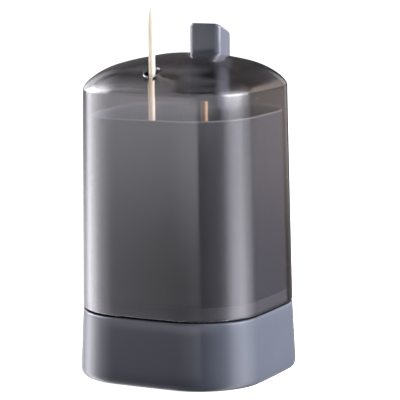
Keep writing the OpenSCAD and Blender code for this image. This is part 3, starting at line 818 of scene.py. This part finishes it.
def makePick(name, node, body, finish, isBlunt, s):
    low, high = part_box(node)
    x, y = (low[0] + high[0]) / 2 / mm, (low[1] + high[1]) / 2 / mm
    bottom, top = low[2] / mm, high[2] / mm
    r, tip, nose = s["thick"] / 2, s["tip"] / 2, s["noseHigh"]
    point = [(0, 0), (tip * s["nose"][0], s["nose"][1]), (tip, nose)]
    point += [(tip + (r - tip) * math.sin(math.pi / 2 * t) ** s["bulge"], nose + (s["taper"] - nose) * t)
              for t in (i / s["taperSteps"] for i in range(1, s["taperSteps"] + 1))]
    profile = [(k, bottom + z) for k, z in point]
    if isBlunt:
        soft = s["blunt"]
        profile += arc((r - soft, top - soft), soft, 0, 90, s["bluntSteps"]) + [(0, top)]
    else:
        profile += [(k, top - z) for k, z in reversed(point)]
    pick = lathed(name, profile, (x, y), s["steps"])
    smoothed(pick, s["sharpAngle"])
    finished(pick, finish, body, "birch", node)


makePick("raisedPick", "raised_toothpick", "toothpick", "birch", False, pickSettings)
# The stored pick wears the birch painted darker for the shade inside the hopper
makePick("storedPick", "stored_toothpick", "base", "shadedBirch", True, pickSettings)
print("tab and toothpicks made")


# Geometry Nodes pieces: what repeats or follows a coil

def pieceTree(name, inputs):
    tree = bpy.data.node_groups.new(name, "GeometryNodeTree")
    tree.interface.new_socket("Geometry", in_out="OUTPUT", socket_type="NodeSocketGeometry")
    names = {}
    for label, kind in inputs:
        names[label] = tree.interface.new_socket(label, in_out="INPUT", socket_type=kind).identifier
    return tree, newNode(tree, "NodeGroupInput").outputs, names


def endTree(tree, shape, finish):
    real = newNode(tree, "GeometryNodeRealizeInstances", {"Geometry": shape})
    paint = newNode(tree, "GeometryNodeSetMaterial", {"Geometry": real.outputs[0], "Material": finish})
    newNode(tree, "NodeGroupOutput", {0: paint.outputs[0]})


def grown(name, tree, names, values, points=((0, 0, 0),)):
    # Run a tree on a mesh of points and keep the result as a plain mesh
    piece = meshPiece(name, points, [])
    change = piece.modifiers.new("grow", "NODES")
    change.node_group = tree
    for label, value in values.items():
        change[names[label]] = value
    bpy.context.view_layer.update()
    return evaluated(piece)


def copyTree():
    # One template on every point, each copy turned by its own angle
    tree, given, names = pieceTree("copiesOnPoints", [
        ("Points", "NodeSocketGeometry"), ("Template", "NodeSocketObject"),
        ("Finish", "NodeSocketMaterial"), ("Turn", "NodeSocketFloat"), ("Seed", "NodeSocketInt")])
    template = newNode(tree, "GeometryNodeObjectInfo", {"Object": given["Template"]})
    turn = newNode(tree, "FunctionNodeRandomValue", {"Seed": given["Seed"]})
    turn.data_type = "FLOAT"
    least, most = [s for s in turn.inputs if s.type == "VALUE"][:2]
    feed(tree, 0, least)
    feed(tree, given["Turn"], most)
    angle = [s for s in turn.outputs if s.type == "VALUE"][0]
    axes = newNode(tree, "ShaderNodeCombineXYZ", {"Z": angle})
    copies = newNode(tree, "GeometryNodeInstanceOnPoints", {
        "Points": given["Points"], "Instance": template.outputs["Geometry"], "Rotation": axes.outputs[0]})
    endTree(tree, copies.outputs[0], given["Finish"])
    return tree, names


coilSettings = {"steps": 28, "sides": 12, "closedPitch": 2.05}


def coilTree(s):
    # Round wire on a coil whose first and last turns lie closed
    tree, given, names = pieceTree("closedCoil", [
        ("Middle", "NodeSocketVector"), ("Turns", "NodeSocketFloat"), ("Radius", "NodeSocketFloat"),
        ("Rise", "NodeSocketFloat"), ("Wire", "NodeSocketFloat"), ("Closed turns", "NodeSocketFloat"),
        ("Finish", "NodeSocketMaterial")])
    coil = newNode(tree, "GeometryNodeCurveSpiral", {
        "Resolution": s["steps"], "Rotations": given["Turns"], "Start Radius": given["Radius"],
        "End Radius": given["Radius"], "Height": 0})
    done = times(tree, newNode(tree, "GeometryNodeSplineParameter").outputs["Factor"], given["Turns"])
    closed, pitch = given["Closed turns"], times(tree, given["Wire"], s["closedPitch"])
    lower = mathNode(tree, "MINIMUM", done, closed)
    upper = mathNode(tree, "MAXIMUM", minus(tree, done, minus(tree, given["Turns"], closed)), 0)
    ends = times(tree, plus(tree, lower, upper), pitch)
    both = times(tree, closed, 2)
    openRise = minus(tree, given["Rise"], times(tree, both, pitch))
    share = mathNode(tree, "DIVIDE", minus(tree, done, closed), minus(tree, given["Turns"], both), True)
    lift = newNode(tree, "ShaderNodeCombineXYZ", {"Z": plus(tree, ends, times(tree, openRise, share))})
    offset = newNode(tree, "ShaderNodeVectorMath", {0: lift.outputs[0], 1: given["Middle"]})
    moved = newNode(tree, "GeometryNodeSetPosition", {
        "Geometry": coil.outputs[0], "Offset": offset.outputs[0]})
    ring = newNode(tree, "GeometryNodeCurvePrimitiveCircle", {
        "Resolution": s["sides"], "Radius": given["Wire"]})
    wire = newNode(tree, "GeometryNodeCurveToMesh", {
        "Curve": moved.outputs[0], "Profile Curve": ring.outputs[0], "Fill Caps": True})
    endTree(tree, wire.outputs[0], given["Finish"])
    return tree, names


copiesOnPoints, copyNames = copyTree()
closedCoil, coilNames = coilTree(coilSettings)


def makeCopies(name, template, points, finish, body, slot, node, turn=0.0, seed=1):
    smoothed(template)
    piece = grown(name, copiesOnPoints, copyNames, {
        "Template": template, "Finish": finishes[finish], "Turn": turn, "Seed": seed}, points)
    bpy.data.objects.remove(template, do_unlink=True)
    finished(piece, finish, body, slot, node)


# Pan-head screws with a cross recess and a ridged shank, heads down

screwSettings = {
    "head": 1.9, "headHigh": 1.1, "headRound": 0.55, "headSteps": 5, "headEdge": 0.08, "thread": 1.0,
    "core": 0.74, "pitch": 0.6, "tooth": (0.35, 0.6, 0.85), "point": 1.2, "cross": (1.15, 0.27, 0.6),
    "reach": 1, "steps": 32, "rowGap": 3, "seeds": 3,
}


def makeScrews(name, node, s, seed):
    (x0, y0, z0), (x1, y1, z1) = boxOf(node)
    length = z1 - z0 - s["headHigh"]
    names = "head", "headHigh", "headRound", "headEdge", "core", "pitch"
    head, tall, soft, edge, core, pitch = (s[k] for k in names)
    profile = [(0, -tall)] + arc((head - soft, soft - tall), soft, -90, 0, s["headSteps"])
    profile += [(head, -edge), (head - edge, 0)]
    z = 0
    while z < length - s["point"] - pitch:
        foot, tooth, end = (z + share * pitch for share in s["tooth"])
        profile += [(core, z), (core, foot), (s["thread"], tooth), (core, end)]
        z += pitch
    profile += [(core, length - s["point"]), (0, length)]
    template = lathed("screw", profile, steps=s["steps"])
    a, b, deep = s["cross"]
    cross = [(a, -b), (a, b), (b, b), (b, a), (-b, a), (-b, b), (-a, b), (-a, -b), (-b, -b), (-b, -a),
             (b, -a), (b, -b)]
    cut(template, extruded("cross", cross, -tall - s["reach"], deep - tall))
    rows = [y0 + head, y1 - head] if y1 - y0 > s["rowGap"] * head else [(y0 + y1) / 2]
    points = [(x, y, z0 + tall) for x in (x0 + head, x1 - head) for y in rows]
    makeCopies(name, template, points, "steel", "base", "steel", node, 2 * math.pi, seed)


for i, group in enumerate(("bottom_screws", "hopper_screws", "bracket_screws")):
    makeScrews(group.replace("_s", "S"), group, screwSettings, i + screwSettings["seeds"])
print("screws made")


# Rubber feet: soft-edged discs with a shallow dish

footSettings = {
    "radius": 4.0, "round": 0.12, "roundSteps": 4, "dish": 0.08, "dishAt": 2.8, "dishSlope": 0.2,
    "steps": 48,
}


def makeFeet(s):
    (x0, y0, z0), (x1, y1, z1) = boxOf("rubber_feet")
    r, soft, dish = s["radius"], s["round"], s["dish"]
    profile = [(0, dish), (s["dishAt"], dish), (s["dishAt"] + s["dishSlope"], 0)]
    profile += arc((r - soft, soft), soft, -90, 0, s["roundSteps"]) + [(r, z1 - z0), (0, z1 - z0)]
    points = [(x, y, z0) for x in (x0 + r, x1 - r) for y in (y0 + r, y1 - r)]
    template = lathed("foot", profile, steps=s["steps"])
    makeCopies("rubberFeet", template, points, "rubber", "base", "foot_rubber", "rubber_feet")


makeFeet(footSettings)
print("feet made")


# Return spring between the shelf and the tab

springSettings = {"wire": 0.8, "turns": 9.0, "closedTurns": 1.0, "keep": 0.565, "sharpAngle": 50}


def makeSpring(s):
    low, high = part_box("return_spring")
    half = s["wire"] * mm / 2
    spring = grown("returnSpring", closedCoil, coilNames, {
        "Middle": (0.0, tabMiddle[1] * mm, low[2] + half), "Turns": s["turns"],
        "Radius": (high[0] - low[0]) / 2 - half, "Rise": high[2] - low[2] - 2 * half, "Wire": half,
        "Closed turns": s["closedTurns"], "Finish": finishes["steel"]})
    outward(spring)
    smoothed(spring, s["sharpAngle"])
    finished(spring, "steel", "tab", "steel", "return_spring")
    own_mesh(spring)


makeSpring(springSettings)
print("spring made")


# CAD nodes that keep their shape get their finish

kept = {
    "feed_floor": "floor", "bottom_plate": "plate", "pivot_bracket": "bracket", "push_fork": "bracket",
    "lever_pivot_pin": "steel", "lifter_pin": "steel", "fork_pin": "steel", "push_pin": "steel",
    "tab_stem": "steel", "lever": "steel", "lifter": "acetal", "pivot_clips": "blackSteel",
    "stem_clip": "blackSteel",
}
for node, finish in kept.items():
    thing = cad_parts[node]
    for place in thing.material_slots:
        place.link = "OBJECT"
        place.material = finishes[finish]


# Studio: pale floor, soft lamps, and the room that the gloss reflects

studioSettings = {
    "fill": 0.05, "fillTint": (0.88, 0.97, 1.15), "behind": 0.07,
    "floorSize": 4000, "floorColour": (0.9, 0.9, 0.9), "bounce": 0.15,
    # Tint of the gloss round the room
    "tints": [(-180, (1, 0.98, 1.06)), (100, (1, 0.985, 1.06)), (126, (1, 0.97, 1.0)),
              (145, (1.05, 0.95, 0.92)), (165, (1.1, 0.9, 0.82)), (180, (1, 0.98, 1.06))],
    # What the gloss reflects: level, stops round the room and stops in height, both in degrees
    "sources": {
        "leftStrip": (
            16.0,
            [(-130, 0), (-116, 0.05), (-106, 0.6), (-98, 1), (-82, 1), (-66, 0.6), (-50, 0.35), (-36, 0.15),
             (-25, 0)],
            [(-14, 0.4), (-9.3, 0.43), (-7, 0.4), (-5, 0.36), (0, 0.45), (6, 1), (22, 1), (32, 0.2),
             (45, 0.02)]),
        "frontPanel": (
            4.1,
            [(-80, 0), (-66, 0.42), (-50, 0.52), (-36, 0.64), (-28, 0.8), (-20, 0.95), (-7, 1), (25, 1),
             (28.5, 0)],
            [(-13, 0), (-10.5, 0.1), (-9.5, 0.02), (-8.3, 0.06), (-6.9, 0.44), (-5, 0.95), (-2, 1),
             (3, 0.5), (10, 0.15), (35, 0)]),
        "frontGlow": (
            2.6,
            [(25, 0), (28.5, 1), (50, 1), (60, 0.5), (68, 0)],
            [(-4.62, 0), (-4.5, 1), (0, 1), (10, 0.6), (35, 0.3), (60, 0)]),
        "rightStrip": (
            24.0,
            [(45, 0), (60, 0.02), (70, 0.14), (84, 0.8), (96, 1), (104, 1), (114, 0.6), (124, 0.3),
             (136, 0.05), (145, 0)],
            [(-14, 0.26), (-9.3, 0.3), (-7, 0.235), (-4, 0.24), (-2, 0.4), (2, 0.9), (5, 1), (20, 1),
             (28, 0.2), (40, 0.03), (60, 0)]),
        "leftSpot": (
            14.0,
            [(-126, 0), (-118, 0.1), (-106, 0.25), (-95, 0.5), (-82, 1), (-58, 1), (-50, 0.3), (-42, 0)],
            [(10, 0), (20, 0.25), (28, 0.6), (34, 1), (42, 0.8), (50, 0.32), (58, 0.12), (68, 0)]),
        "leftEdge": (
            1.2,
            [(-160, 0.2), (-145, 0.4), (-133, 0.8), (-115, 1), (-106, 0)],
            [(-20, 1), (-9.5, 0.9), (-6.5, 0.2), (-4, 0)]),
        "leftGlow": (
            2.4,
            [(-140, 0), (-134, 0.5), (-128, 1), (-110, 1), (-104, 0.5), (-98, 0)],
            [(-4, 0), (0, 1), (12, 1), (24, 0.7), (30, 0.2), (36, 0)]),
        "frontHigh": (
            1.6,
            [(-60, 0), (-45, 1), (50, 1), (66, 0.5), (80, 0)],
            [(4, 0.3), (12, 1), (48, 1), (58, 0)]),
        "backPanel": (
            0.4,
            [(-162, 0), (-154, 1), (-140, 1), (-128, 0)],
            [(30, 0), (42, 1), (62, 1), (70, 0)]),
        "zenith": (
            0.9,
            [(-180, 1), (-140, 1), (-110, 0.35), (-45, 0.35), (0, 1), (90, 1), (115, 0.5), (160, 0.5),
             (180, 1)],
            [(58, 0), (68, 0.9), (90, 1)]),
        "rightSpot": (
            6.0,
            [(70, 0), (84, 1), (108, 1), (130, 0.35), (150, 0.12), (165, 0)],
            [(2, 0), (12, 1), (40, 1), (52, 0.3), (64, 0)]),
        "rightRim": (
            1.3,
            [(-180, 1), (-174, 0.6), (-169, 0), (140, 0), (152, 1), (180, 1)],
            [(0, 0), (5, 1), (21, 1), (25, 0)]),
        "rightWall": (
            0.8,
            [(112, 0), (130, 1), (160, 1), (176, 1.3), (180, 1.3)],
            [(-20, 0), (-9.3, 0.2), (-7, 0.8), (-5, 1), (-1, 1), (2, 0)]),
        "table": (
            0.6,
            [(-180, 1), (180, 1)],
            [(-90, 1), (-30, 1), (-18, 0.3), (-14, 0)]),
        "ambient": (
            0.42,
            [(-180, 0.3), (-172, 0.15), (-156, 0.2), (-140, 0.5), (-115, 0.9), (-40, 1), (24, 1), (32, 0.1),
             (52, 0.1), (70, 1), (120, 1), (142, 0.12), (165, 0.08), (180, 0.2)],
            [(-90, 1), (10, 1), (40, 0.5), (90, 0.3)]),
    },
    # Azimuth and elevation in degrees, distance and size in mm, power in W, colour
    "lamps": {
        "rightKey": (113, 18, 700, (420, 420), 13.5, (1.0, 0.99, 0.98)),
        "leftKey": (-95, 18, 700, (300, 420), 3.2, (1, 1, 1)),
        "topSoft": (0, 80, 800, (600, 600), 2.5, (1, 1, 1)),
    },
    "lampTarget": (0, 0, 55),
}


def makeLamps(s):
    for name, (azimuth, elevation, distance, size, power, colour) in s["lamps"].items():
        data = bpy.data.lights.new(name, "AREA")
        data.shape = "RECTANGLE"
        data.size, data.size_y = size[0] * mm, size[1] * mm
        data.energy = power
        data.color = colour
        light = newObject(name, data)
        away = directionTo(azimuth, elevation)
        turn = away.to_track_quat("Z", "Y").to_matrix().to_4x4()
        light.matrix_world = Matrix.Translation((Vector(s["lampTarget"]) + away * distance) * mm) @ turn
        light.visible_camera = False
        light.visible_glossy = False
        light.visible_transmission = False


def ramp(tree, value, stops, span):
    # Stops in degrees round the middle of a value that runs from 0 to 1 over the span
    node = newNode(tree, "ShaderNodeValToRGB", {0: value})
    elements = node.color_ramp.elements
    while len(elements) > 1:
        elements.remove(elements[-1])
    for i, (degrees, level) in enumerate(stops):
        at = degrees / span + 0.5
        element = elements[0] if i == 0 else elements.new(at)
        element.position = at
        element.color = (*level, 1) if isinstance(level, tuple) else (level, level, level, 1)
    return node.outputs[0]


def makeRoom(s):
    # Glossy rays see the sources, transmitted rays a dark level and the camera white
    world = bpy.data.worlds.new("room")
    bpy.context.scene.world = world
    world.use_nodes = True
    world.cycles.sampling_method = "NONE"
    tree = world.node_tree
    tree.nodes.clear()
    place = newNode(tree, "ShaderNodeTexCoord").outputs["Generated"]
    x, y, z = newNode(tree, "ShaderNodeSeparateXYZ", {0: place}).outputs
    azimuth = mathNode(tree, "ARCTAN2", x, times(tree, y, -1))
    around = plus(tree, times(tree, azimuth, 0.5 / math.pi), 0.5)
    height = plus(tree, times(tree, mathNode(tree, "ARCSINE", z), 1 / math.pi), 0.5)

    glossy = 0
    for level, turns, rises in s["sources"].values():
        across = ramp(tree, around, turns, 360)
        upward = ramp(tree, height, rises, 180)
        glossy = plus(tree, times(tree, times(tree, across, upward), level), glossy)
    tint = ramp(tree, around, s["tints"], 360)
    path = newNode(tree, "ShaderNodeLightPath")
    strength = s["fill"]
    for ray, level in (("Glossy", glossy), ("Transmission", s["behind"]), ("Camera", 1)):
        mask = path.outputs["Is %s Ray" % ray]
        rest = times(tree, minus(tree, 1, mask), strength)
        strength = plus(tree, times(tree, mask, level), rest)
    filled = mixColour(tree, path.outputs["Is Diffuse Ray"], (1, 1, 1), s["fillTint"])
    colour = mixColour(tree, path.outputs["Is Glossy Ray"], filled, tint)
    back = newNode(tree, "ShaderNodeBackground", {"Color": colour, "Strength": strength})
    newNode(tree, "ShaderNodeOutputWorld", {"Surface": back.outputs[0]})


def makeFloor(s):
    half = s["floorSize"] / 2
    floor = meshPiece("tableTop", [(x, y, 0) for x, y in oblong(-half, half, -half, half)], [[0, 1, 2, 3]])
    material, tree, shader = newMaterial("paleFloor")
    isSeen = newNode(tree, "ShaderNodeLightPath").outputs["Is Camera Ray"]
    dim = tuple(s["bounce"] * level for level in s["floorColour"])
    feedAll(tree, shader, {
        "Base Color": mixColour(tree, isSeen, dim, s["floorColour"]), "Roughness": 1,
        "Specular IOR Level": 0, "Emission Color": (1, 1, 1), "Emission Strength": isSeen})
    floor.data.materials.append(material)
    floor.visible_glossy = False
    floor.visible_transmission = False


makeLamps(studioSettings)
makeRoom(studioSettings)
makeFloor(studioSettings)
bpy.context.scene.view_settings.view_transform = "Standard"
print("studio made")
